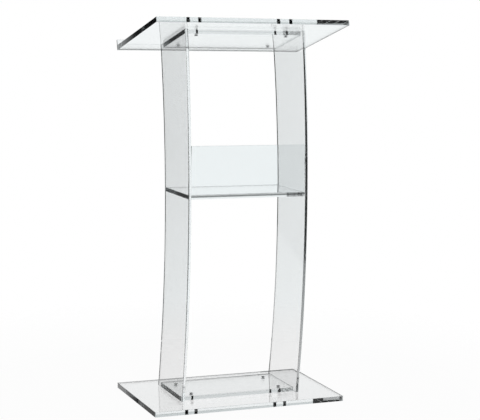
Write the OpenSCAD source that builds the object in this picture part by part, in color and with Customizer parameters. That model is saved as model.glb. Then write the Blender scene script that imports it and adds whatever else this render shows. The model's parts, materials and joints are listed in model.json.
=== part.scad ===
// Knock-down floor lectern in clear cast acrylic sheet, millimetres.
// Two bowed side panels, a shelf and two spreader plates are bonded into one frame.
// A base plate and a sloping reading board are screwed to the spreaders.
// Origin: floor level, under the centre of the base plate. +Z up, -Y towards the audience,
// +Y towards the speaker, who stands at the low edge of the reading board.

/* [Overall] */
// Height of the reading board's high edge above the floor
total_h = 1143; // [1000:1:1300]

/* [Base] */
// Width of the base plate
base_w = 600; // [520:5:800]
// Depth of the base plate
base_d = 365; // [330:5:500]
// Thickness of the base plate and of the reading board
thick_sheet_t = 15; // [12:1:20]
// Corner radius of the rectangular plates
corner_r = 3; // [1:0.5:10]

/* [Side panels] */
// Clear width between the two side panels
inner_w = 360; // [330:5:480]
// Thickness of a side panel
side_t = 8.5; // [8:0.5:15]
// Depth of a side panel at its foot and at its head
side_d = 215; // [200:5:260]
// How far the foot of a side panel is set towards the speaker
foot_shift = 11; // [-10:1:20]
// How much further the head is set towards the speaker than the foot
head_lean = 19; // [0:1:40]
// Bow of the front edge towards the audience at mid height
front_bow = 42; // [20:1:80]
// Hollow of the back edge at mid height
back_bow = 51; // [20:1:80]

/* [Inner plates] */
// Thickness of the spreaders and of the shelf
inner_sheet_t = 12; // [10:1:15]
// Depth of the lower spreader
lower_spreader_d = 185; // [170:5:200]
// Depth of the upper spreader, along the slope
upper_spreader_d = 195; // [180:5:210]
// Height of the shelf's top face above the floor
shelf_h = 633; // [400:1:800]
// Gap between the shelf's long edges and the side panels' edges
shelf_inset = 2; // [0:0.5:10]

/* [Name panel] */
// Height of the blank name panel above the shelf
name_panel_h = 142; // [80:1:200]
// Thickness of the name panel
name_panel_t = 5; // [3:0.5:8]
// Set-back of the name panel from the shelf's front edge
name_panel_setback = 3; // [0:0.5:10]

/* [Reading board] */
// Width of the reading board
board_w = 600; // [500:5:800]
// Depth of the reading board along the slope, without the page stop
board_d = 370; // [340:5:450]
// Slope of the reading board
board_tilt = 14; // [8:0.5:20]
// Overhang of the board's high edge in front of the base plate's centre line
board_reach = 147; // [130:1:180]
// Distance from the board's high edge to the middle of the side panels' heads, along the slope
head_centre = 184; // [176:1:192]
// Thickness of the page stop
stop_t = 6; // [4:0.5:10]
// Rise of the page stop above the reading surface
stop_rise = 16; // [8:1:30]

/* [Fasteners] */
// Thread diameter of the countersunk socket screws
screw_d = 6; // [5:0.5:7]
// Overall length of a screw
screw_len = 20; // [18:1:22]
// Diameter of a screw's countersunk head
head_d = 11.5; // [11:0.5:13]
// Depth of a screw head or a flange below the surface of its sheet
head_sink = 0.3; // [0.1:0.1:1]
// Barrel diameter of a sleeve nut
sleeve_d = 10; // [9.5:0.5:11]
// Overall length of a sleeve nut
sleeve_len = 13; // [11:1:14]
// Diameter of a sleeve nut's flange
flange_d = 12.5; // [12:0.5:15]
// Thickness of a sleeve nut's flange
flange_t = 1.5; // [1.2:0.1:2]
// Spacing of the screws across the lectern
screw_span_x = 284; // [260:1:310]
// Spacing of the base screws from front to back
base_span_y = 120; // [100:1:140]
// Spacing of the board screws along the slope
board_span_y = 141; // [120:1:155]

/* [Hidden] */
$fn = 64;

EPS = 0.01;
arc_fn = 720;                  // facets of a side panel's long edges, on a full circle
clip_y = 450;                  // half the depth of the outline that trims a side panel
seat_gap = 0.02;               // radial play of a screw or sleeve nut in its seat
screw_play = 0.3;              // radial clearance of a screw in the spreader it clamps
screw_hex = 4;                 // socket width of a screw head, across flats
screw_hex_depth = 2.5;         // depth of a screw's socket
sleeve_hex = 5;                // socket width of a sleeve nut's flange, across flats
sleeve_hex_depth = 1.8;        // depth of a sleeve nut's socket
sleeve_bore_depth = 10;        // depth of a sleeve nut's thread
tip_h = 1;                     // height and radial depth of the chamfer on a screw's tip
head_h = (head_d - screw_d)/2; // 90 degree countersunk head

// Slope of the board as a unit vector down the slope and a unit normal, in the YZ plane.
slope = [cos(board_tilt), -sin(board_tilt)];
normal = [sin(board_tilt), cos(board_tilt)];
// Top and bottom corners of the board's high edge, in the YZ plane.
high_edge_top = [-board_reach, total_h];
high_edge_bottom = high_edge_top - thick_sheet_t*normal;

// Height of the board's underside over a place y.
function underside_z(y) =
  high_edge_bottom[1] - (y - high_edge_bottom[0])*tan(board_tilt);

// A bowed edge is an arc from a foot point to a head point, bulging towards -Y by bow.
function arc_radius(foot, head, bow) =
  (pow(norm(head - foot), 2)/4 + bow*bow)/(2*bow);
function arc_centre(foot, head, bow) =
  let(across = (head - foot)/norm(head - foot))
  (foot + head)/2 + [across[1], -across[0]]*(arc_radius(foot, head, bow) - bow);
// Place of a bowed edge at height z.
function arc_y(centre, radius, z) =
  centre[0] - sqrt(radius*radius - pow(z - centre[1], 2));

// Middle of a side panel's head, and a head corner on the board's underside.
head_mid_y = foot_shift + head_lean;
function head_point(y) = [y, underside_z(y)];

front_foot = [foot_shift - side_d/2, thick_sheet_t];
front_head = head_point(head_mid_y - side_d/2);
front_r = arc_radius(front_foot, front_head, front_bow);
front_c = arc_centre(front_foot, front_head, front_bow);

back_foot = [foot_shift + side_d/2, thick_sheet_t];
back_head = head_point(head_mid_y + side_d/2);
back_r = arc_radius(back_foot, back_head, back_bow);
back_c = arc_centre(back_foot, back_head, back_bow);

shelf_front_y = arc_y(front_c, front_r, shelf_h) + shelf_inset;
shelf_back_y = arc_y(back_c, back_r, shelf_h) - shelf_inset;

// Rectangular sheet, centred in X and Y, standing on z = 0.
module sheet(w, d, t, r = corner_r) {
  linear_extrude(t) {
    square([w - 2*r, d], center = true);
    square([w, d - 2*r], center = true);
    for (sx = [-1, 1], sy = [-1, 1])
      translate([sx*(w/2 - r), sy*(d/2 - r)])
        circle(r);
  }
}

// Children at the four corners of a screw pattern.
module at_screws(span_y) {
  for (sx = [-1, 1], sy = [-1, 1])
    translate([sx*screw_span_x/2, sy*span_y/2, 0])
      children();
}

// Hexagonal socket sunk into a face at z = 0.
module hex_socket(across_flats, depth) {
  translate([0, 0, -EPS])
    cylinder(h = depth + EPS, d = across_flats/cos(30), $fn = 6);
}

// Countersunk socket screw, head first from z = 0, pointing up.
module screw() {
  shank_d = screw_d - 2*seat_gap;
  difference() {
    union() {
      cylinder(h = head_h, d1 = head_d - 2*seat_gap, d2 = shank_d);
      translate([0, 0, head_h - EPS])
        cylinder(h = screw_len - head_h - tip_h, d = shank_d);
      translate([0, 0, screw_len - tip_h - 2*EPS])
        cylinder(h = tip_h, d1 = shank_d, d2 = screw_d - 2*tip_h);
    }
    hex_socket(screw_hex, screw_hex_depth);
  }
}

// Hole for a screw through an inner sheet, head face on z = 0.
module screw_hole() {
  translate([0, 0, -EPS])
    cylinder(h = inner_sheet_t + 2*EPS, d = screw_d + 2*screw_play);
  translate([0, 0, head_sink])
    cylinder(h = head_h, d1 = head_d, d2 = screw_d);
  translate([0, 0, -EPS])
    cylinder(h = head_sink + 2*EPS, d = head_d);
}

// Flanged sleeve nut, flange first from z = 0, pointing up, threaded from its far end.
module sleeve_nut() {
  difference() {
    union() {
      cylinder(h = flange_t, d = flange_d - 2*seat_gap);
      cylinder(h = sleeve_len, d = sleeve_d - 2*seat_gap);
    }
    hex_socket(sleeve_hex, sleeve_hex_depth);
    translate([0, 0, sleeve_len - sleeve_bore_depth])
      cylinder(h = sleeve_bore_depth + EPS, d = screw_d);
  }
}

// Hole for a sleeve nut through a thick sheet, flange face on z = 0.
module sleeve_hole() {
  translate([0, 0, -EPS])
    cylinder(h = thick_sheet_t + 2*EPS, d = sleeve_d);
  translate([0, 0, -EPS])
    cylinder(h = head_sink + flange_t + EPS, d = flange_d);
}

// Inner plate with four screw holes, standing on z = 0, heads on its upper face.
module spreader(depth, span_y) {
  difference() {
    sheet(inner_w, depth, inner_sheet_t);
    at_screws(span_y)
      screw_from_above()
        screw_hole();
  }
}

// Turns a fastener that points up into one that points down from a spreader's upper face.
module screw_from_above() {
  translate([0, 0, inner_sheet_t])
    mirror([0, 0, 1])
      children();
}

// Four screws in their places in a spreader that stands on z = 0.
module screw_set(span_y) {
  at_screws(span_y)
    screw_from_above()
      translate([0, 0, head_sink])
        screw();
}

// Four sleeve nuts in their places in a thick sheet whose outer face is z = 0.
module sleeve_set(span_y) {
  at_screws(span_y)
    translate([0, 0, head_sink])
      sleeve_nut();
}

// Frame of the lower screw pattern: z = 0 on the underside of the base plate.
module base_frame() {
  translate([0, foot_shift, 0])
    children();
}

// Frame of the upper screw pattern: z = 0 on the reading surface, z grows into the board.
module board_frame() {
  along = head_centre*slope;
  translate([0, high_edge_top[0] + along[0], high_edge_top[1] + along[1]])
    rotate([180 - board_tilt, 0, 0])
      children();
}

// Outline of a side panel, drawn with y across and z up.
module side_outline() {
  intersection() {
    difference() {
      translate(front_c)
        circle(front_r, $fn = arc_fn);
      translate(back_c)
        circle(back_r, $fn = arc_fn);
    }
    polygon([
      [-clip_y, thick_sheet_t],
      [clip_y, thick_sheet_t],
      [clip_y, underside_z(clip_y)],
      [-clip_y, underside_z(-clip_y)]
    ]);
  }
}

// Side panel whose inner face, nearest x = 0, starts at x = inner_x.
module side_panel(inner_x) {
  translate([inner_x, 0, 0])
    rotate([90, 0, 90])
      linear_extrude(side_t)
        side_outline();
}

module base_plate() {
  color("azure", 0.5)
    difference() {
      sheet(base_w, base_d, thick_sheet_t);
      base_frame()
        at_screws(base_span_y)
          sleeve_hole();
    }
}

module base_sleeve_nuts() {
  color("dimgray")
    base_frame()
      sleeve_set(base_span_y);
}

module base_screws() {
  color("dimgray")
    base_frame()
      translate([0, 0, thick_sheet_t])
        screw_set(base_span_y);
}

module lower_spreader() {
  color("azure", 0.5)
    base_frame()
      translate([0, 0, thick_sheet_t])
        spreader(lower_spreader_d, base_span_y);
}

module left_side_panel() {
  color("azure", 0.5)
    side_panel(-inner_w/2 - side_t);
}

module right_side_panel() {
  color("azure", 0.5)
    side_panel(inner_w/2);
}

module shelf() {
  color("azure", 0.5)
    translate([0, (shelf_front_y + shelf_back_y)/2, shelf_h - inner_sheet_t])
      linear_extrude(inner_sheet_t)
        square([inner_w, shelf_back_y - shelf_front_y], center = true);
}

module name_panel() {
  color("azure", 0.5)
    translate([-inner_w/2, shelf_front_y + name_panel_setback, shelf_h])
      cube([inner_w, name_panel_t, name_panel_h]);
}

module upper_spreader() {
  color("azure", 0.5)
    board_frame()
      translate([0, 0, thick_sheet_t])
        spreader(upper_spreader_d, board_span_y);
}

module board_screws() {
  color("dimgray")
    board_frame()
      translate([0, 0, thick_sheet_t])
        screw_set(board_span_y);
}

module board_sleeve_nuts() {
  color("dimgray")
    board_frame()
      sleeve_set(board_span_y);
}

module reading_board() {
  color("azure", 0.5)
    board_frame()
      difference() {
        translate([0, head_centre - board_d/2, 0])
          sheet(board_w, board_d, thick_sheet_t);
        at_screws(board_span_y)
          sleeve_hole();
      }
}

// The stop covers the board's low end face and rises above the reading surface.
module page_stop() {
  color("azure", 0.5)
    board_frame()
      translate([-board_w/2, head_centre - board_d - stop_t, -stop_rise])
        cube([board_w, stop_t, stop_rise + thick_sheet_t]);
}

base_plate();
base_sleeve_nuts();
base_screws();
lower_spreader();
left_side_panel();
right_side_panel();
shelf();
name_panel();
upper_spreader();
board_screws();
board_sleeve_nuts();
reading_board();
page_stop();
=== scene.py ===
"""Looks for a clear acrylic floor lectern, in metres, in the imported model's frame.

Every sheet, screw and sleeve nut is rebuilt in mesh code from the size of its CAD node. Sheets that touch
in the CAD are pulled back by a hair at the seam, because two clear faces in one plane can't be rendered.
"""

import json
import math

import bmesh
import bpy
from mathutils import Matrix, Vector


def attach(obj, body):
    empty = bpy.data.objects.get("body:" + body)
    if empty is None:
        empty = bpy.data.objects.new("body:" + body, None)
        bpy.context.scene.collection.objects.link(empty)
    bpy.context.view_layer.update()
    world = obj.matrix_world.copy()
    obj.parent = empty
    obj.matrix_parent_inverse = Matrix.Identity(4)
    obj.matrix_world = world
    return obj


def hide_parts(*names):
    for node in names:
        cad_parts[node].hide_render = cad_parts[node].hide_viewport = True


MM = 0.001

# Sheets
SEAM = 0.06 * MM  # air left at a seam between two sheets
BEVEL_WIDTH = 0.5 * MM
BEVEL_STEPS = 2
BEVELLED_ANGLE = math.radians(30)  # edges turning by more than this get a bevel
CORNER_RADIUS = 3 * MM
CORNER_STEPS = 8
ARC_STEPS = 120  # steps along a side panel's bowed edge
SHARP_ANGLE = math.radians(15)  # edges turning by more than this are shaded as corners
NO_TRIM = (0, 0, 0)

# Places in a sheet's set of materials
SHEET_FACE, EDGE_FACE, BEVEL_FACE, BONDED_END, FREE_END = range(5)

# Limits on the parts of a face's unit normal, by which a sheet's faces are told apart
SQUARE_ON = 0.999
FACING_FOOT = -0.3
SLANTED = 0.02

# Fasteners
ROUND_STEPS = 48
CHAMFER = 0.3 * MM
SEAT_GAP = 0.02 * MM  # air between steel and acrylic
HEAD_RADIUS = 5.75 * MM
HEAD_SINK = 0.3 * MM  # depth of heads and flanges below the surface
HEAD_RIM = 0.2 * MM
SHANK_RADIUS = 3 * MM
CLEARANCE_RADIUS = 3.3 * MM
THREAD_DEPTH = 0.5 * MM
THREAD_PITCH = 1 * MM
THREAD_LEAD = 1 * MM  # taper at the tip, and plain length under the head
RINGS_PER_TURN = 6
SCREW_HEX = 4 * MM
SCREW_HEX_DEPTH = 2.5 * MM
SLEEVE_RADIUS = 5 * MM
SLEEVE_HEX = 5 * MM
SLEEVE_HEX_DEPTH = 1.8 * MM
SLEEVE_BORE_DEPTH = 10 * MM
FLANGE_RADIUS = 6.25 * MM
FLANGE_THICKNESS = 1.5 * MM
FLANGE_BACK_GAP = 0.1 * MM
SOCKET_POINT = 0.3 * MM  # how much deeper a hexagon socket is in its middle
SOCKET_BREAK = 0.1 * MM  # depth of the chamfer at its mouth
SOCKET_MOUTH = 0.62  # radius of the mouth as a share of the hexagon's size
KNURL_DEPTH = 0.2 * MM
KNURL_FROM_END = 1 * MM  # plain length at both ends of the knurl
KNURL_RUN_OUT = 0.2 * MM
SCREW_SHARP_ANGLE = math.radians(35)
SLEEVE_SHARP_ANGLE = math.radians(25)

# Acrylic. A tint is what is left of white light that goes in and out through tinted faces.
CLEAR = (1, 1, 1)
ACRYLIC_IOR = 1.49
PATH_TINT = (0.60, 0.74, 0.76)  # colour left after a long way through the sheet
PATH_DENSITY = 0.6
PANEL_TINT = (0.94, 0.96, 0.965)
# Painted shade: the free ends of the base, the board and the page stop are darkened to about half
END_PAINTED_SHADE = (0.5, 0.52, 0.53)
# Painted shade: bevels are tinted darker so that the sheets' outlines look dark
BEVEL_PAINTED_SHADE = (0.8, 0.82, 0.83)
BOWED_BEVEL_PAINTED_SHADE = (0.4, 0.42, 0.43)  # painted shade on the side panels' bevels, darker than on the other sheets
# Painted shade on bonded ends, nearly black from outside; the pale colour stands for streaks and bubbles in
# the cement
JOINT_PAINTED_SHADE = (0.02, 0.022, 0.022)
JOINT_PALE = (0.5, 0.52, 0.52)
JOINT_CLEAR = (0.92, 0.93, 0.93)
# Painted shade: a dark line along the shelf's front edge, with its height and fade below
SHELF_LINE_PAINTED_SHADE = (0.08, 0.082, 0.082)
SHELF_LINE_HEIGHT = 0.66  # as a share of the shelf's thickness
SHELF_LINE_FADE = (0.14, 0.34)  # the same share, above and below the line
DUST = (0.75, 0.75, 0.74)

# Steel
OXIDE = (0.022, 0.022, 0.026)
BARE_STEEL = (0.32, 0.32, 0.33)
WORN_RADIUS = 0.15 * MM  # reach of the wear around an edge
SCREW_SHINE = 0.42  # lowest roughness
SLEEVE_SHINE = 0.48

# Camera: a long lens a little above the shelf, on the audience's side
CAMERA_AZIMUTH = -22.96
CAMERA_ELEVATION = 7.75
CAMERA_ROLL = 1.27
CAMERA_AT = (-1.6515, -4.1202, 1.1613)
CAMERA_LENS = 111.5
CAMERA_SHIFT = (-0.0444, 0.0092)

# Stage. A pair is where a change starts and ends. Heights and sides of the light are sines of the angle above
# the horizon and of the angle beside the camera's axis.
FLOOR_RADIUS = 1.6
FLOOR_STEPS = 96
FLOOR_Z = -0.5 * MM
FLOOR_FADE = (0.45 * FLOOR_RADIUS, 0.95 * FLOOR_RADIUS)  # distances from the middle
FLOOR_WHITE = (0.9, 0.9, 0.9)
FLOOR_GLOW = 0.97  # share of the floor's white that doesn't depend on the light
CONTACT_REACH = 0.04
CONTACT_LEVEL = 0.98
CONTACT_SAMPLES = 4
BACKDROP_SIDE = (0.58, 0.65)
BACKDROP_AHEAD = (0.0, 0.2)
BACKDROP_TOP = (0.15, 0.33)
BACKDROP_ABOVE = 0.5  # brightness over the top
BACKDROP_FOOT = (-0.28, -0.40)
BACKDROP_BELOW = 0.85
SWEEP_SLOPE = 2.6  # slant of the pale floor's edge, as mirrored in a side panel
SWEEP_EDGE = (1.724, 1.732)
SWEEP_HEIGHT = (-0.09, -0.27)
SWEEP_LEVEL = 0.52
CEILING_HEIGHT = (0.75, 0.9)
CEILING_LEVEL = 0.6
STUDIO_DARK = 0.02
STUDIO_TINT = (0.965, 0.995, 1.0)  # slightly cool

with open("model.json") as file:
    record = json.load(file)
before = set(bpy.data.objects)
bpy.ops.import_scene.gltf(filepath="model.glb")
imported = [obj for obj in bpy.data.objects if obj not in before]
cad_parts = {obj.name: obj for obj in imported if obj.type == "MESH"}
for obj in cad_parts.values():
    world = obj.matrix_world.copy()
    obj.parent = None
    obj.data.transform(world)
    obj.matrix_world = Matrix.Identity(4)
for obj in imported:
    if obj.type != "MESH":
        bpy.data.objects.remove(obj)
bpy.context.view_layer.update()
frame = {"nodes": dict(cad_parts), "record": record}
nodes = frame["nodes"]
scene = bpy.context.scene


# Frames and sizes taken from the CAD


def board_frame():
    """The reading surface's frame: x across, y up the slope towards the audience, z out of the surface."""
    mount = next(m for m in frame["record"]["mounts"] if m["name"] == "reading_surface")
    z = Vector(mount["axis"]).normalized()
    x = Vector((-1, 0, 0))
    y = z.cross(x)
    place = Matrix((x, y, z)).transposed().to_4x4()
    place.translation = Vector(mount["pos_m"])
    return place


WORLD = Matrix.Identity(4)
BOARD = board_frame()
INTO_BOARD = BOARD @ Matrix.Rotation(math.pi, 4, "X")  # z from the reading surface down into the board


def box_of(points):
    """Lowest and highest corner of a group of points."""
    low = Vector([min(p[i] for p in points) for i in range(3)])
    high = Vector([max(p[i] for p in points) for i in range(3)])
    return low, high


def local_box(node, place=WORLD):
    """Lowest and highest corner of a CAD node in the frame place."""
    back = place.inverted()
    return box_of([back @ v.co for v in nodes[node].data.vertices])


def fastener_centres(node, radius, place=WORLD):
    """The four axes of a group of fasteners, from its box and the fastener's radius."""
    low, high = local_box(node, place)
    return [(x, y) for x in (low.x + radius, high.x - radius) for y in (low.y + radius, high.y - radius)]


# Meshes


def face_outwards(bm):
    """Turns every face outwards. Blender's guess can be wrong for a bowed sheet, so the volume decides."""
    bmesh.ops.recalc_face_normals(bm, faces=bm.faces)
    if bm.calc_volume(signed=True) < 0:
        bmesh.ops.reverse_faces(bm, faces=bm.faces)


def finish_mesh(name, bm, node, materials, sharp_angle=SHARP_ANGLE):
    """Makes bm an object that stands for the CAD node and rides on its body."""
    face_outwards(bm)
    mesh = bpy.data.meshes.new(name)
    bm.to_mesh(mesh)
    bm.free()
    for material in materials:
        mesh.materials.append(material)
    for polygon in mesh.polygons:
        polygon.use_smooth = True
    mesh.set_sharp_from_angle(angle=sharp_angle)
    obj = bpy.data.objects.new(name, mesh)
    scene.collection.objects.link(obj)
    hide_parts(node)
    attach(obj, "root")


def rounded_rectangle(low, high):
    """Outline of a rectangle with rounded corners, counterclockwise."""
    left, right = low.x + CORNER_RADIUS, high.x - CORNER_RADIUS
    bottom, top = low.y + CORNER_RADIUS, high.y - CORNER_RADIUS
    points = []
    for quarter, (x, y) in enumerate([(right, top), (left, top), (left, bottom), (right, bottom)]):
        for step in range(CORNER_STEPS + 1):
            angle = math.pi / 2 * (quarter + step / CORNER_STEPS)
            points.append((x + CORNER_RADIUS * math.cos(angle), y + CORNER_RADIUS * math.sin(angle)))
    return points


def rectangle(low, high):
    """Outline of a square-cornered rectangle, counterclockwise."""
    return [(low.x, low.y), (high.x, low.y), (high.x, high.y), (low.x, high.y)]


def slab(outline, low, high):
    """bmesh of a sheet with bevelled edges: outline in the xy plane, from z low to z high."""
    bm = bmesh.new()
    bottom = [bm.verts.new((x, y, low)) for x, y in outline]
    top = [bm.verts.new((x, y, high)) for x, y in outline]
    bm.faces.new(reversed(bottom))
    bm.faces.new(top)
    for i in range(len(outline)):
        j = (i + 1) % len(outline)
        bm.faces.new((bottom[i], bottom[j], top[j], top[i]))
    bm.normal_update()
    corners = [e for e in bm.edges if e.calc_face_angle(0) > BEVELLED_ANGLE]
    bmesh.ops.bevel(bm, geom=corners, offset=BEVEL_WIDTH, segments=BEVEL_STEPS, profile=0.5, affect="EDGES")
    return bm


def mark_faces(bm, ends=EDGE_FACE, foot=EDGE_FACE):
    """Numbers the faces of a sheet that lies in the xy plane, so that each takes its material from a set.

    ends is the number for the faces at both ends of x, and foot for the face at y low and its bevels.
    """
    bm.normal_update()
    for face in bm.faces:
        if abs(face.normal.z) > SQUARE_ON:
            face.material_index = SHEET_FACE
        elif face.normal.y < FACING_FOOT and foot != EDGE_FACE:
            face.material_index = foot
        elif abs(face.normal.z) > SLANTED:
            face.material_index = BEVEL_FACE
        elif abs(face.normal.x) > SQUARE_ON:
            face.material_index = ends
        else:
            face.material_index = EDGE_FACE


def add_ring(bm, centre, radius, z):
    """A ring of vertices about an upright axis. radius is a number or a function of the angle."""
    ring = []
    for step in range(ROUND_STEPS):
        angle = 2 * math.pi * step / ROUND_STEPS
        reach = radius(angle) if callable(radius) else radius
        x = centre[0] + reach * math.cos(angle)
        y = centre[1] + reach * math.sin(angle)
        ring.append(bm.verts.new((x, y, z)))
    return ring


def join_rings(bm, one, two):
    """Faces between two rings of equal length, or a fan if one of them is a single vertex."""
    steps = max(len(one), len(two))
    for i in range(steps):
        j = (i + 1) % steps
        if len(one) == 1:
            bm.faces.new((one[0], two[i], two[j]))
        elif len(two) == 1:
            bm.faces.new((one[i], one[j], two[0]))
        else:
            bm.faces.new((one[i], one[j], two[j], two[i]))


def add_turned(bm, centre, profile):
    """Adds the surface turned from (radius, z) pairs. A radius of 0 makes a single vertex on the axis."""
    rings = []
    for radius, z in profile:
        if radius == 0:
            rings.append([bm.verts.new((*centre, z))])
        else:
            rings.append(add_ring(bm, centre, radius, z))
    for one, two in zip(rings, rings[1:]):
        join_rings(bm, one, two)
    return rings


def drilled(bm, profile, centres):
    """bmesh of bm without the solids turned from profile about each of the centres."""
    cutter = bmesh.new()
    for centre in centres:
        add_turned(cutter, centre, profile)
    objects = []
    for part in (bm, cutter):
        face_outwards(part)
        mesh = bpy.data.meshes.new("drilling")
        part.to_mesh(mesh)
        part.free()
        obj = bpy.data.objects.new("drilling", mesh)
        scene.collection.objects.link(obj)
        objects.append(obj)
    body, tool = objects
    modifier = body.modifiers.new("drill", "BOOLEAN")
    modifier.operation = "DIFFERENCE"
    modifier.solver = "EXACT"
    modifier.object = tool
    graph = bpy.context.evaluated_depsgraph_get()
    result = bmesh.new()
    result.from_mesh(body.evaluated_get(graph).to_mesh())
    for obj in objects:
        mesh = obj.data
        bpy.data.objects.remove(obj)
        bpy.data.meshes.remove(mesh)
    return result


# Node helpers. Each adds a node and returns its output; an input may be a number or another node's output.


def new_material(name):
    """A new material, its node tree and its main shader."""
    material = bpy.data.materials.new(name)
    material.use_nodes = True
    return material, material.node_tree, material.node_tree.nodes["Principled BSDF"]


def use_surface(tree, surface):
    """Makes a shader's output the material's surface."""
    tree.links.new(surface, tree.nodes["Material Output"].inputs["Surface"])


def plug(tree, socket, value):
    """Sets an input to a number or colour, or links another node's output to it."""
    if isinstance(value, bpy.types.NodeSocket):
        tree.links.new(value, socket)
    else:
        socket.default_value = value


def coordinates(tree, stretch=(1, 1, 1)):
    """Places on the object in metres, stretched so that a texture runs along an axis with a small factor."""
    place = tree.nodes.new("ShaderNodeTexCoord")
    mapping = tree.nodes.new("ShaderNodeMapping")
    tree.links.new(place.outputs["Object"], mapping.inputs["Vector"])
    mapping.inputs["Scale"].default_value = stretch
    return mapping.outputs["Vector"]


def noise(tree, where, scale, detail):
    """Smooth noise from 0 to 1, in lumps about 1/scale metres across."""
    node = tree.nodes.new("ShaderNodeTexNoise")
    tree.links.new(where, node.inputs["Vector"])
    node.inputs["Scale"].default_value = scale
    node.inputs["Detail"].default_value = detail
    return node.outputs["Fac"]


def specks(tree, scale, size, share):
    """Round specks, in a share of the cells 1/scale across: 1 on a speck and 0 elsewhere."""
    cells = tree.nodes.new("ShaderNodeTexVoronoi")
    tree.links.new(coordinates(tree), cells.inputs["Vector"])
    cells.inputs["Scale"].default_value = scale
    channels = tree.nodes.new("ShaderNodeSeparateColor")
    tree.links.new(cells.outputs["Color"], channels.inputs["Color"])
    chosen = maths(tree, "LESS_THAN", channels.outputs["Red"], share)
    radius = maths(tree, "MULTIPLY", channels.outputs["Green"], size * scale)
    inside = maths(tree, "LESS_THAN", cells.outputs["Distance"], radius)
    return maths(tree, "MULTIPLY", chosen, inside)


def map_range(tree, value, source, target):
    """Maps value from the span source to the span target, and holds it at the ends."""
    node = tree.nodes.new("ShaderNodeMapRange")
    tree.links.new(value, node.inputs["Value"])
    node.inputs["From Min"].default_value = source[0]
    node.inputs["From Max"].default_value = source[1]
    plug(tree, node.inputs["To Min"], target[0])
    plug(tree, node.inputs["To Max"], target[1])
    return node.outputs["Result"]


def maths(tree, operation, one, two=0.0):
    """A calculation with one or two values."""
    node = tree.nodes.new("ShaderNodeMath")
    node.operation = operation
    plug(tree, node.inputs[0], one)
    plug(tree, node.inputs[1], two)
    return node.outputs[0]


def mixed(tree, share, one, two):
    """A mix of two shaders."""
    node = tree.nodes.new("ShaderNodeMixShader")
    plug(tree, node.inputs["Fac"], share)
    tree.links.new(one, node.inputs[1])
    tree.links.new(two, node.inputs[2])
    return node.outputs[0]


def mixed_colour(tree, share, one, two):
    """A mix of two plain colours."""
    node = tree.nodes.new("ShaderNodeMix")
    node.data_type = "RGBA"
    colour_inputs = [i for i in node.inputs if i.type == "RGBA"]
    plug(tree, node.inputs["Factor"], share)
    plug(tree, colour_inputs[0], (*one, 1))
    plug(tree, colour_inputs[1], (*two, 1))
    return next(o for o in node.outputs if o.type == "RGBA")


def bump(tree, height, distance, strength):
    """A bump from height, 0 to 1, that stands for distance in metres."""
    node = tree.nodes.new("ShaderNodeBump")
    node.inputs["Strength"].default_value = strength
    node.inputs["Distance"].default_value = distance
    tree.links.new(height, node.inputs["Height"])
    return node.outputs["Normal"]


def split(tree, vector):
    """The X, Y and Z outputs of a vector."""
    node = tree.nodes.new("ShaderNodeSeparateXYZ")
    tree.links.new(vector, node.inputs[0])
    return node.outputs["X"], node.outputs["Y"], node.outputs["Z"]


# Acrylic


def acrylic(name, tint=CLEAR):
    """Clear cast acrylic: a dielectric that darkens light a little along its path."""
    material, tree, shader = new_material(name)
    shader.inputs["Base Color"].default_value = (*tint, 1)
    shader.inputs["IOR"].default_value = ACRYLIC_IOR
    shader.inputs["Transmission Weight"].default_value = 1.0
    shader.inputs["Roughness"].default_value = 0.0
    absorption = tree.nodes.new("ShaderNodeVolumeAbsorption")
    absorption.inputs["Color"].default_value = (*PATH_TINT, 1)
    absorption.inputs["Density"].default_value = PATH_DENSITY
    tree.links.new(absorption.outputs["Volume"], tree.nodes["Material Output"].inputs["Volume"])
    return material, tree, shader


def hairlines(tree, scale, width):
    """Thin curved scratches: stretches of a smooth noise's contour, kept where a second noise is high."""
    wander = noise(tree, coordinates(tree), scale, detail=1.0)
    from_contour = maths(tree, "ABSOLUTE", maths(tree, "SUBTRACT", wander, 0.5))
    line = maths(tree, "LESS_THAN", from_contour, width * scale)
    patches = noise(tree, coordinates(tree), 3.1 * scale, detail=0.0)
    kept = maths(tree, "GREATER_THAN", patches, 0.6)
    return maths(tree, "MULTIPLY", line, kept)


def sheet_face(name, tint=CLEAR):
    """A sheet's broad face: hairline scratches, wiping smears and a few specks of dust."""
    material, tree, shader = acrylic(name, tint)
    long_scratches = hairlines(tree, scale=21, width=0.09 * MM)
    short_scratches = hairlines(tree, scale=33, width=0.07 * MM)
    scratches = maths(tree, "MAXIMUM", long_scratches, short_scratches)
    wiped = noise(tree, coordinates(tree, (1, 3, 1)), scale=9, detail=3.0)
    smears = map_range(tree, wiped, (0.52, 0.75), (0.0, 0.035))
    roughness = maths(tree, "MAXIMUM", smears, maths(tree, "MULTIPLY", scratches, 0.12))
    plug(tree, shader.inputs["Roughness"], roughness)
    plug(tree, shader.inputs["Normal"], bump(tree, scratches, distance=-0.01 * MM, strength=0.4))
    dust = tree.nodes.new("ShaderNodeBsdfDiffuse")
    dust.inputs["Color"].default_value = (*DUST, 1)
    dust_share = maths(tree, "MULTIPLY", specks(tree, scale=400, size=0.4 * MM, share=0.2), 0.5)
    use_surface(tree, mixed(tree, dust_share, shader.outputs[0], dust.outputs[0]))
    return material


def across(thin_axis, along, over):
    """Stretch factors: along the sheet's thin axis, and over the two others."""
    return tuple(along if axis == thin_axis else over for axis in "xyz")


def sheet_edge(name, thin_axis, tint=CLEAR):
    """A polished edge: the cutter's fine lines run across it, under a polish that is a little uneven."""
    material, tree, shader = acrylic(name, tint)
    cutter_lines = noise(tree, coordinates(tree, across(thin_axis, 0.02, 1)), scale=900, detail=2.0)
    ripple = noise(tree, coordinates(tree, across(thin_axis, 0.2, 1)), scale=45, detail=1.0)
    plug(tree, shader.inputs["Roughness"], map_range(tree, cutter_lines, (0.45, 0.8), (0.0, 0.07)))
    height = maths(tree, "ADD", maths(tree, "MULTIPLY", cutter_lines, 0.15), ripple)
    plug(tree, shader.inputs["Normal"], bump(tree, height, distance=0.01 * MM, strength=0.3))
    return material


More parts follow.
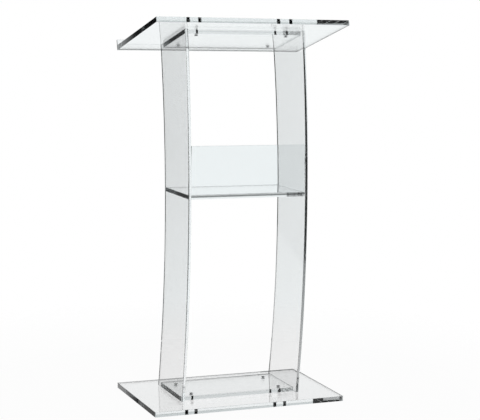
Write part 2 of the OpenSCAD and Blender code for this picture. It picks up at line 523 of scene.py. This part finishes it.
def shelf_edge(name):
    """The shelf's long edges: polished like the others, with a painted dark line of shade along the
    audience's side.
    """
    material = sheet_edge(name, "z")
    tree = material.node_tree
    shader = tree.nodes["Principled BSDF"]
    place = tree.nodes.new("ShaderNodeTexCoord")
    _, depth, height = split(tree, place.outputs["Generated"])
    from_line = maths(tree, "ABSOLUTE", maths(tree, "SUBTRACT", height, SHELF_LINE_HEIGHT))
    near_line = map_range(tree, from_line, SHELF_LINE_FADE, (1.0, 0.0))
    in_front = maths(tree, "LESS_THAN", depth, 0.5)
    line = maths(tree, "MULTIPLY", near_line, in_front)
    # Painted shade: the dark line is painted into the edge's colour
    plug(tree, shader.inputs["Base Color"], mixed_colour(tree, line, CLEAR, SHELF_LINE_PAINTED_SHADE))
    return material


def sheet_bevel(name, thin_axis):
    """The narrow bevel between a face and an edge: scraped by hand, satin, with small nicks from wear, and
    tinted dark as painted shade along the outlines.
    """
    # Painted shade: the tint darkens the bevels, most on the bowed side panels
    material, tree, shader = acrylic(name, BOWED_BEVEL_PAINTED_SHADE if thin_axis == "x" else BEVEL_PAINTED_SHADE)
    scrape = noise(tree, coordinates(tree, across(thin_axis, 1, 0.1)), scale=700, detail=2.0)
    nicks = specks(tree, scale=120, size=0.6 * MM, share=0.2)
    satin = map_range(tree, scrape, (0.3, 0.7), (0.08, 0.25))
    plug(tree, shader.inputs["Roughness"], maths(tree, "MAXIMUM", satin, nicks))
    height = maths(tree, "SUBTRACT", scrape, nicks)
    plug(tree, shader.inputs["Normal"], bump(tree, height, distance=0.03 * MM, strength=0.6))
    return material


def bonded_end(name):
    """An end bonded with solvent cement, with paler streaks and bubbles in the cement, and painted shade:
    nearly black from outside, and clear with dark blots from within.
    """
    material, tree, shader = acrylic(name)
    streaks = noise(tree, coordinates(tree, (1, 0.15, 1)), scale=260, detail=3.0)
    bubbles = specks(tree, scale=240, size=0.8 * MM, share=0.35)
    paleness = maths(tree, "MAXIMUM", map_range(tree, streaks, (0.55, 0.8), (0.0, 0.5)), bubbles)
    plug(tree, shader.inputs["Base Color"], mixed_colour(tree, paleness, JOINT_PAINTED_SHADE, JOINT_PALE))
    plug(tree, shader.inputs["Roughness"], map_range(tree, paleness, (0.0, 1.0), (0.05, 0.3)))
    plug(tree, shader.inputs["Normal"], bump(tree, paleness, distance=0.05 * MM, strength=0.5))
    see_through = tree.nodes.new("ShaderNodeBsdfTransparent")
    see_through.inputs["Color"].default_value = (*JOINT_CLEAR, 1)
    geometry = tree.nodes.new("ShaderNodeNewGeometry")
    blots = noise(tree, coordinates(tree), scale=130, detail=1.0)
    between_blots = map_range(tree, blots, (0.42, 0.46), (0.0, 1.0))
    # Painted shade: only where seen from within does the end turn clear between the blots
    clear = maths(tree, "MULTIPLY", geometry.outputs["Backfacing"], between_blots)
    use_surface(tree, mixed(tree, clear, shader.outputs[0], see_through.outputs[0]))
    return material


CLEAR_FACE = sheet_face("acrylic_face")
PANEL_FACE = sheet_face("acrylic_name_panel_face", PANEL_TINT)
JOINT = bonded_end("acrylic_bonded_end_painted_shade")
EDGES = {axis: sheet_edge("acrylic_edge_" + axis, axis) for axis in "xyz"}
BEVELS = {axis: sheet_bevel("acrylic_bevel_painted_shade_" + axis, axis) for axis in "xyz"}
# Painted shade on the free ends
ENDS = {axis: sheet_edge("acrylic_end_painted_shade_" + axis, axis, END_PAINTED_SHADE) for axis in "yz"}
SHELF_EDGE = shelf_edge("acrylic_shelf_edge_painted_line")


def sheet_materials(thin_axis, face=CLEAR_FACE, edge=None):
    """The materials of a sheet in the order of its face numbers."""
    plain_edge = EDGES[thin_axis]
    return [face, edge or plain_edge, BEVELS[thin_axis], JOINT, ENDS.get(thin_axis, plain_edge)]


# Steel


def black_steel(name, turned, shine):
    """Black oxide on steel: a turning grain, blotches in the oxide, oil, and bare metal on worn edges."""
    material, tree, shader = new_material(name)
    blotches = noise(tree, coordinates(tree), scale=700, detail=3.0)
    grain = noise(tree, coordinates(tree, turned), scale=4000, detail=2.0)
    rounded = tree.nodes.new("ShaderNodeBevel")
    rounded.inputs["Radius"].default_value = WORN_RADIUS
    geometry = tree.nodes.new("ShaderNodeNewGeometry")
    turn = tree.nodes.new("ShaderNodeVectorMath")
    turn.operation = "DOT_PRODUCT"
    tree.links.new(rounded.outputs["Normal"], turn.inputs[0])
    tree.links.new(geometry.outputs["Normal"], turn.inputs[1])
    on_edge = map_range(tree, turn.outputs["Value"], (0.995, 0.9), (0.0, 1.0))
    worn = maths(tree, "MULTIPLY", on_edge, map_range(tree, blotches, (0.45, 0.6), (0.0, 0.8)))
    plug(tree, shader.inputs["Base Color"], mixed_colour(tree, worn, OXIDE, BARE_STEEL))
    shader.inputs["Metallic"].default_value = 1.0
    dull = map_range(tree, blotches, (0.3, 0.7), (shine, shine + 0.18))
    plug(tree, shader.inputs["Roughness"], dull)
    height = maths(tree, "ADD", grain, maths(tree, "MULTIPLY", blotches, 0.5))
    plug(tree, shader.inputs["Normal"], bump(tree, height, distance=0.01 * MM, strength=0.6))
    return material


SCREW_STEEL = black_steel("screw_steel", (1, 1, 0.05), SCREW_SHINE)
SLEEVE_STEEL = black_steel("sleeve_steel", (0.05, 1, 1), SLEEVE_SHINE)


# Pieces


def thick_plate(name, node, sleeve_node, place):
    """The base or the board: a rounded sheet with four holes for sleeve nuts, whose flanges lie at z low."""
    low, high = local_box(node, place)
    flange_end = low.z + HEAD_SINK + FLANGE_THICKNESS
    hole = [
        (0, low.z - CHAMFER),
        (FLANGE_RADIUS + 2 * CHAMFER, low.z - CHAMFER),
        (FLANGE_RADIUS, low.z + CHAMFER),
        (FLANGE_RADIUS, flange_end),
        (SLEEVE_RADIUS, flange_end),
        (SLEEVE_RADIUS, high.z + CHAMFER),
        (0, high.z + CHAMFER),
    ]
    centres = fastener_centres(sleeve_node, FLANGE_RADIUS - SEAT_GAP, place)
    bm = drilled(slab(rounded_rectangle(low, high), low.z, high.z), hole, centres)
    mark_faces(bm, ends=FREE_END)
    bm.transform(place)
    finish_mesh(name, bm, node, sheet_materials("z"))


def spreader(name, node, screw_node, place):
    """An inner plate that lies on a thick sheet at z low, with four countersunk holes entered from z high."""
    low, high = local_box(node, place)
    low += Vector((SEAM, 0, SEAM))
    high -= Vector((SEAM, 0, 0))
    cone_start = high.z - HEAD_SINK
    hole = [
        (0, high.z + CHAMFER),
        (HEAD_RADIUS + 2 * CHAMFER, high.z + CHAMFER),
        (HEAD_RADIUS, high.z - CHAMFER / 2),
        (HEAD_RADIUS, cone_start),
        (CLEARANCE_RADIUS, cone_start - (HEAD_RADIUS - CLEARANCE_RADIUS)),
        (CLEARANCE_RADIUS, low.z - CHAMFER),
        (0, low.z - CHAMFER),
    ]
    centres = fastener_centres(screw_node, HEAD_RADIUS - SEAT_GAP, place)
    bm = drilled(slab(rounded_rectangle(low, high), low.z, high.z), hole, centres)
    mark_faces(bm, ends=BONDED_END)
    bm.transform(place)
    finish_mesh(name, bm, node, sheet_materials("z"))


def circle_through(a, b, c):
    """Centre and radius of the circle through three points of a plane."""
    ab, ac = b - a, c - a
    cross = 2 * (ab.x * ac.y - ab.y * ac.x)
    offset = Vector((
        (ac.y * ab.length_squared - ab.y * ac.length_squared) / cross,
        (ab.x * ac.length_squared - ac.x * ab.length_squared) / cross,
    ))
    return a + offset, offset.length


def bowed_edge(points):
    """Evenly stepped points on the arc through a chain of CAD points, given from foot to head as (y, z)."""
    foot, middle, head = points[0], points[len(points) // 2], points[-1]
    centre, radius = circle_through(foot, middle, head)
    start = math.atan2(foot.y - centre.y, foot.x - centre.x) % (2 * math.pi)
    end = math.atan2(head.y - centre.y, head.x - centre.x) % (2 * math.pi)
    arc = []
    for step in range(ARC_STEPS + 1):
        angle = start + (end - start) * step / ARC_STEPS
        arc.append(centre + radius * Vector((math.cos(angle), math.sin(angle))))
    return arc


def side_outline(node):
    """A side panel's outline as (y, z) points with evenly stepped arcs, and its front corner at the head."""
    points = {(round(v.co.y, 7), round(v.co.z, 7)) for v in nodes[node].data.vertices}
    points = sorted((Vector(p) for p in points), key=lambda p: p.y)
    foot_front, foot_back = sorted(points[:2], key=lambda p: p.x)
    head_front = points[-1]
    head_back = max(points, key=lambda p: p.x)
    foot_middle = (foot_front + foot_back) / 2
    head_middle = (head_front + head_back) / 2

    def is_front(p):
        share = (p.y - foot_middle.y) / (head_middle.y - foot_middle.y)
        return p.x < foot_middle.x + share * (head_middle.x - foot_middle.x)

    front = bowed_edge([p for p in points if is_front(p) or p == head_front])
    back = bowed_edge([p for p in points if not is_front(p) and p != head_front])
    return front + back[::-1], head_front


def side_panel(name, node):
    """A bowed sheet, drawn in the YZ plane and pulled back at its foot and under the board."""
    low, high = local_box(node)
    outline, head_front = side_outline(node)
    normal = BOARD.to_3x3() @ Vector((0, 0, 1))
    head_normal = Vector((normal.y, normal.z))
    trimmed = []
    for p in outline:
        if p.y < low.z + SEAM:
            p = Vector((p.x, low.z + SEAM))
        if (p - head_front).dot(head_normal) > -SEAM:
            p = p - head_normal * SEAM
        trimmed.append((p.x, p.y))
    bm = slab(trimmed, low.x, high.x)
    mark_faces(bm)
    yz_to_world = Matrix(((0, 0, 1, 0), (1, 0, 0, 0), (0, 1, 0, 0), (0, 0, 0, 1)))
    bm.transform(yz_to_world)
    finish_mesh(name, bm, node, sheet_materials("x"))


def flat_plate(name, node, thin_axis, materials, ends, foot=EDGE_FACE, place=WORLD, trim=(NO_TRIM, NO_TRIM)):
    """A plain sheet that is thinnest along thin_axis, y or z. trim pulls back its low and its high corner."""
    low, high = local_box(node, place)
    low += Vector(trim[0])
    high -= Vector(trim[1])
    turn = Matrix.Identity(4)
    if thin_axis == "y":
        turn = Matrix(((1, 0, 0, 0), (0, 0, -1, 0), (0, 1, 0, 0), (0, 0, 0, 1)))
    low, high = box_of([turn.inverted() @ c for c in (low, high)])
    bm = slab(rectangle(low, high), low.z, high.z)
    mark_faces(bm, ends, foot)
    bm.transform(place @ turn)
    finish_mesh(name, bm, node, materials)


def hexagon(across_flats):
    """Radius of a hexagon as a function of the angle."""
    def radius(angle):
        from_flat = (angle + math.pi / 6) % (math.pi / 3) - math.pi / 6
        return across_flats / 2 / math.cos(from_flat)
    return radius


def hex_socket(size, depth, surface, inwards):
    """Profile of a hexagon socket from its floor to its mouth, at z surface. inwards is 1 or -1, along z."""
    radius = hexagon(size)
    return [
        (0, surface + inwards * (depth + SOCKET_POINT)),
        (radius, surface + inwards * depth),
        (radius, surface + inwards * SOCKET_BREAK),
        (SOCKET_MOUTH * size, surface),
    ]


def add_thread(bm, centre, crest, top, bottom):
    """A helical thread running down from z top to z bottom. Returns its first and last ring."""
    count = round((top - bottom) / THREAD_PITCH * RINGS_PER_TURN)
    rings = []
    for k in range(count + 1):
        z = top + (bottom - top) * k / count
        run_out = min(1.0, k / RINGS_PER_TURN, (count - k) / RINGS_PER_TURN)

        def radius(angle):
            turn = (z / THREAD_PITCH - angle / (2 * math.pi)) % 1.0
            return crest - THREAD_DEPTH * run_out * abs(2 * turn - 1)

        rings.append(add_ring(bm, centre, radius, z))
    for one, two in zip(rings, rings[1:]):
        join_rings(bm, one, two)
    return rings[0], rings[-1]


def screws(name, node, place):
    """Four countersunk socket screws, heads at z high, pointing down."""
    low, high = local_box(node, place)
    head = HEAD_RADIUS - SEAT_GAP
    crest = SHANK_RADIUS - 2 * SEAT_GAP
    cone_end = high.z - (head - crest)
    profile = hex_socket(SCREW_HEX, SCREW_HEX_DEPTH, high.z, inwards=-1) + [
        (head - CHAMFER, high.z),
        (head, high.z - HEAD_RIM),
        (crest, cone_end - HEAD_RIM),
    ]
    bm = bmesh.new()
    for centre in fastener_centres(node, head, place):
        top = add_turned(bm, centre, profile)
        first, last = add_thread(bm, centre, crest, cone_end - THREAD_LEAD, low.z + THREAD_LEAD)
        tip = add_turned(bm, centre, [(crest - THREAD_LEAD, low.z), (0, low.z)])
        join_rings(bm, top[-1], first)
        join_rings(bm, last, tip[0])
    bm.transform(place)
    finish_mesh(name, bm, node, [SCREW_STEEL], SCREW_SHARP_ANGLE)


def sleeve_nuts(name, node, place):
    """Four flanged sleeve nuts, flanges at z low, barrels with a straight knurl pointing up."""
    low, high = local_box(node, place)
    flange = FLANGE_RADIUS - SEAT_GAP
    barrel = SLEEVE_RADIUS - SEAT_GAP
    bore = SHANK_RADIUS - SEAT_GAP / 2
    flange_end = low.z + FLANGE_THICKNESS

    def knurl(angle):
        step = round(angle / (2 * math.pi) * ROUND_STEPS)
        return barrel - KNURL_DEPTH * (step % 2)

    profile = hex_socket(SLEEVE_HEX, SLEEVE_HEX_DEPTH, low.z, inwards=1) + [
        (flange - CHAMFER, low.z),
        (flange, low.z + CHAMFER),
        (flange, flange_end - FLANGE_BACK_GAP),
        (barrel, flange_end - FLANGE_BACK_GAP),
        (barrel, flange_end + KNURL_FROM_END),
        (knurl, flange_end + KNURL_FROM_END + KNURL_RUN_OUT),
        (knurl, high.z - KNURL_FROM_END - KNURL_RUN_OUT),
        (barrel, high.z - KNURL_FROM_END),
        (barrel, high.z - CHAMFER),
        (barrel - CHAMFER, high.z),
        (bore + CHAMFER, high.z),
        (bore, high.z - CHAMFER),
        (bore, high.z - SLEEVE_BORE_DEPTH + CHAMFER),
        (0, high.z - SLEEVE_BORE_DEPTH),
    ]
    bm = bmesh.new()
    for centre in fastener_centres(node, flange, place):
        add_turned(bm, centre, profile)
    bm.transform(place)
    finish_mesh(name, bm, node, [SLEEVE_STEEL], SLEEVE_SHARP_ANGLE)


def build_lectern():
    thick_plate("visual_base_plate", "base_plate", "base_sleeve_nuts", WORLD)
    thick_plate("visual_reading_board", "reading_board", "board_sleeve_nuts", INTO_BOARD)
    spreader("visual_lower_spreader", "lower_spreader", "base_screws", WORLD)
    spreader("visual_upper_spreader", "upper_spreader", "board_screws", INTO_BOARD)
    side_panel("visual_left_side_panel", "left_side_panel")
    side_panel("visual_right_side_panel", "right_side_panel")
    flat_plate("visual_shelf", "shelf", "z", sheet_materials("z", edge=SHELF_EDGE),
               ends=BONDED_END, trim=((SEAM, 0, 0), (SEAM, 0, 0)))
    flat_plate("visual_name_panel", "name_panel", "y", sheet_materials("y", face=PANEL_FACE),
               ends=BONDED_END, foot=BONDED_END, trim=((SEAM, 0, SEAM), (SEAM, 0, 0)))
    flat_plate("visual_page_stop", "page_stop", "y", sheet_materials("y"),
               ends=FREE_END, place=BOARD, trim=(NO_TRIM, (0, SEAM, 0)))
    screws("visual_base_screws", "base_screws", WORLD)
    screws("visual_board_screws", "board_screws", INTO_BOARD)
    sleeve_nuts("visual_base_sleeve_nuts", "base_sleeve_nuts", WORLD)
    sleeve_nuts("visual_board_sleeve_nuts", "board_sleeve_nuts", INTO_BOARD)


# Stage


def seen_from_camera(tree, direction):
    """How far a world direction points beside the camera's axis, and ahead along it, as sines."""
    turn = tree.nodes.new("ShaderNodeVectorTransform")
    turn.vector_type = "VECTOR"
    turn.convert_from = "WORLD"
    turn.convert_to = "CAMERA"
    tree.links.new(direction, turn.inputs[0])
    right, _, ahead = split(tree, turn.outputs[0])
    return maths(tree, "ABSOLUTE", right), ahead


def light_ahead(tree, sideways, ahead):
    """1 in the directions of the white backdrop, which stands ahead of the camera, and 0 elsewhere."""
    within = map_range(tree, sideways, BACKDROP_SIDE, (1.0, 0.0))
    return maths(tree, "MULTIPLY", within, map_range(tree, ahead, BACKDROP_AHEAD, (0.0, 1.0)))


def light_beside(tree, sideways, height):
    """What a side panel mirrors: darkness, or below a slanting line a pale floor that brightens downwards."""
    slant = maths(tree, "ADD", height, maths(tree, "MULTIPLY", sideways, SWEEP_SLOPE))
    floor = map_range(tree, height, SWEEP_HEIGHT, (STUDIO_DARK, SWEEP_LEVEL))
    light = map_range(tree, slant, SWEEP_EDGE, (floor, STUDIO_DARK))
    return maths(tree, "MULTIPLY", light, maths(tree, "GREATER_THAN", sideways, BACKDROP_SIDE[1]))


def camera_rays(tree):
    """1 for rays straight from the camera, and 0 for those that acrylic has mirrored or bent."""
    path = tree.nodes.new("ShaderNodeLightPath")
    return path.outputs["Is Camera Ray"]


def floor_light(tree, incoming):
    """The floor's own light, which depends on the direction it is seen in, like the backdrop's."""
    view = tree.nodes.new("ShaderNodeVectorMath")
    view.operation = "SCALE"
    view.inputs["Scale"].default_value = -1.0
    tree.links.new(incoming, view.inputs[0])
    _, _, height = split(tree, view.outputs[0])
    sideways, ahead = seen_from_camera(tree, view.outputs[0])
    beside = light_beside(tree, sideways, height)
    light = maths(tree, "MAXIMUM", light_ahead(tree, sideways, ahead), beside)
    level = maths(tree, "MAXIMUM", light, camera_rays(tree))
    # Painted shade: the floor's glow is darkened under and near the lectern by ambient occlusion
    shade = tree.nodes.new("ShaderNodeAmbientOcclusion")
    shade.inputs["Distance"].default_value = CONTACT_REACH
    shade.samples = CONTACT_SAMPLES
    contact = map_range(tree, shade.outputs["AO"], (0.0, 1.0), (CONTACT_LEVEL, 1.0))
    glow = tree.nodes.new("ShaderNodeEmission")
    plug(tree, glow.inputs["Color"], maths(tree, "MULTIPLY", level, contact))
    return glow.outputs[0]


def floor_material():
    """White near the lectern, and clear further out."""
    material, tree, shader = new_material("floor")
    shader.inputs["Base Color"].default_value = (*FLOOR_WHITE, 1)
    shader.inputs["Roughness"].default_value = 1.0
    shader.inputs["Specular IOR Level"].default_value = 0.0
    geometry = tree.nodes.new("ShaderNodeNewGeometry")
    glow = floor_light(tree, geometry.outputs["Incoming"])
    near = mixed(tree, FLOOR_GLOW, shader.outputs[0], glow)
    distance = tree.nodes.new("ShaderNodeVectorMath")
    distance.operation = "LENGTH"
    tree.links.new(geometry.outputs["Position"], distance.inputs[0])
    fade = map_range(tree, distance.outputs["Value"], FLOOR_FADE, (0.0, 1.0))
    clear = tree.nodes.new("ShaderNodeBsdfTransparent")
    use_surface(tree, mixed(tree, fade, near, clear.outputs[0]))
    return material


def build_floor():
    """A round white floor with a soft shade under the lectern, which fades into the backdrop further out."""
    bm = bmesh.new()
    bmesh.ops.create_circle(bm, cap_ends=True, segments=FLOOR_STEPS, radius=FLOOR_RADIUS)
    mesh = bpy.data.meshes.new("floor")
    bm.to_mesh(mesh)
    bm.free()
    mesh.materials.append(floor_material())
    floor = bpy.data.objects.new("floor", mesh)
    scene.collection.objects.link(floor)
    floor.location.z = FLOOR_Z


def build_world():
    """A white backdrop ahead of the camera, and darkness elsewhere, so that clear edges show dark lines.

    The camera itself always sees white. What the acrylic mirrors and bends depends on the direction.
    """
    world = bpy.data.worlds.new("studio")
    scene.world = world
    world.use_nodes = True
    tree = world.node_tree
    where = tree.nodes.new("ShaderNodeTexCoord")
    direction = where.outputs["Generated"]
    _, _, height = split(tree, direction)
    sideways, ahead = seen_from_camera(tree, direction)
    up = map_range(tree, height, BACKDROP_TOP, (1.0, BACKDROP_ABOVE))
    down = map_range(tree, height, BACKDROP_FOOT, (1.0, BACKDROP_BELOW))
    backdrop = maths(tree, "MULTIPLY", light_ahead(tree, sideways, ahead), maths(tree, "MULTIPLY", up, down))
    ceiling = map_range(tree, height, CEILING_HEIGHT, (STUDIO_DARK, CEILING_LEVEL))
    light = maths(tree, "MAXIMUM", backdrop, light_beside(tree, sideways, height))
    light = maths(tree, "MAXIMUM", light, ceiling)
    from_camera = camera_rays(tree)
    background = tree.nodes["Background"]
    plug(tree, background.inputs["Color"], mixed_colour(tree, from_camera, STUDIO_TINT, (1, 1, 1)))
    plug(tree, background.inputs["Strength"], maths(tree, "MAXIMUM", light, from_camera))


def build_camera():
    azimuth, elevation = math.radians(CAMERA_AZIMUTH), math.radians(CAMERA_ELEVATION)
    back = Vector((
        math.sin(azimuth) * math.cos(elevation),
        -math.cos(azimuth) * math.cos(elevation),
        math.sin(elevation),
    ))
    data = bpy.data.cameras.new("camera")
    data.sensor_fit = "HORIZONTAL"
    data.lens = CAMERA_LENS
    data.shift_x, data.shift_y = CAMERA_SHIFT
    camera = bpy.data.objects.new("camera", data)
    scene.collection.objects.link(camera)
    turn = (-back).to_track_quat("-Z", "Y").to_matrix().to_4x4()
    roll = Matrix.Rotation(math.radians(CAMERA_ROLL), 4, "Z")
    camera.matrix_world = Matrix.Translation(CAMERA_AT) @ turn @ roll
    bpy.context.scene.camera = camera


def set_render_look():
    """Lets light pass through many clear faces, shows colours as they are and keeps the picture smooth."""
    scene.view_settings.view_transform = "Standard"
    scene.cycles.max_bounces = 32
    scene.cycles.transmission_bounces = 32
    scene.cycles.glossy_bounces = 16
    scene.cycles.transparent_max_bounces = 16
    scene.cycles.sample_clamp_indirect = 0
    scene.cycles.use_denoising = True
    scene.cycles.sampling_pattern = "TABULATED_SOBOL"  # others leave a grain in the side panels


build_lectern()
build_floor()
build_world()
build_camera()
set_render_look()
